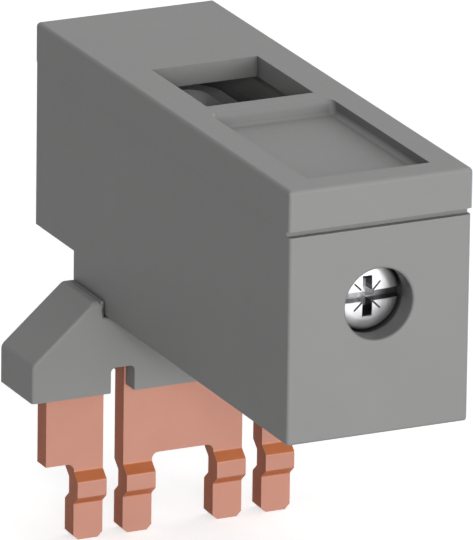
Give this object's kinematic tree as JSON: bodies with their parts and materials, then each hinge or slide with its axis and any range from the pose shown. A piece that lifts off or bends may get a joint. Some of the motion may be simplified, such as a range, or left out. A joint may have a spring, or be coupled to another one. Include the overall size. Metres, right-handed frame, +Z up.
{
  "type": "contactor parallel link",
  "caption": "Parallel link for a three-pole contactor: a copper comb in a sloped carrier under a narrow grey block with a side screw clamp and a top cable window.",
  "frame": {"origin": "middle of the finger row: on the middle pole's axis, in the middle of the copper's thickness, level with the carrier's underside", "axes": "+X across the poles, +Y to the rear, away from the screw head, +Z up, out of the contactor's terminals"},
  "size_m": [0.0332, 0.056, 0.047],
  "materials": {
    "housing": "fine moulded texture",
    "copper": "bare stamped copper, satin",
    "plated_steel": "bright zinc plating",
    "screw_steel": "dull zinc plating"
  },
  "bodies": {
    "housing": {"housing_base": "housing", "housing_cover": "housing", "comb_carrier": "housing", "copper_comb": "copper", "clamp_cage": "plated_steel"},
    "plate": {"pressure_plate": "plated_steel"},
    "screw": {"clamp_screw": "screw_steel"}
  },
  "joints": [
    {"name": "clamp_feed", "type": "slide", "parent": "housing", "child": "plate", "axis": [0, 1, 0], "range_m": [0, 0.013]},
    {"name": "screw_turn", "type": "hinge", "parent": "plate", "child": "screw", "pos_m": [0, -0.03685, 0.02018], "axis": [0, 1, 0], "range_deg": [0, 4680]}
  ],
  "couplings": [
    {"joint": "screw_turn", "follows": "clamp_feed", "rad_per_m": 6283.2}
  ]
}
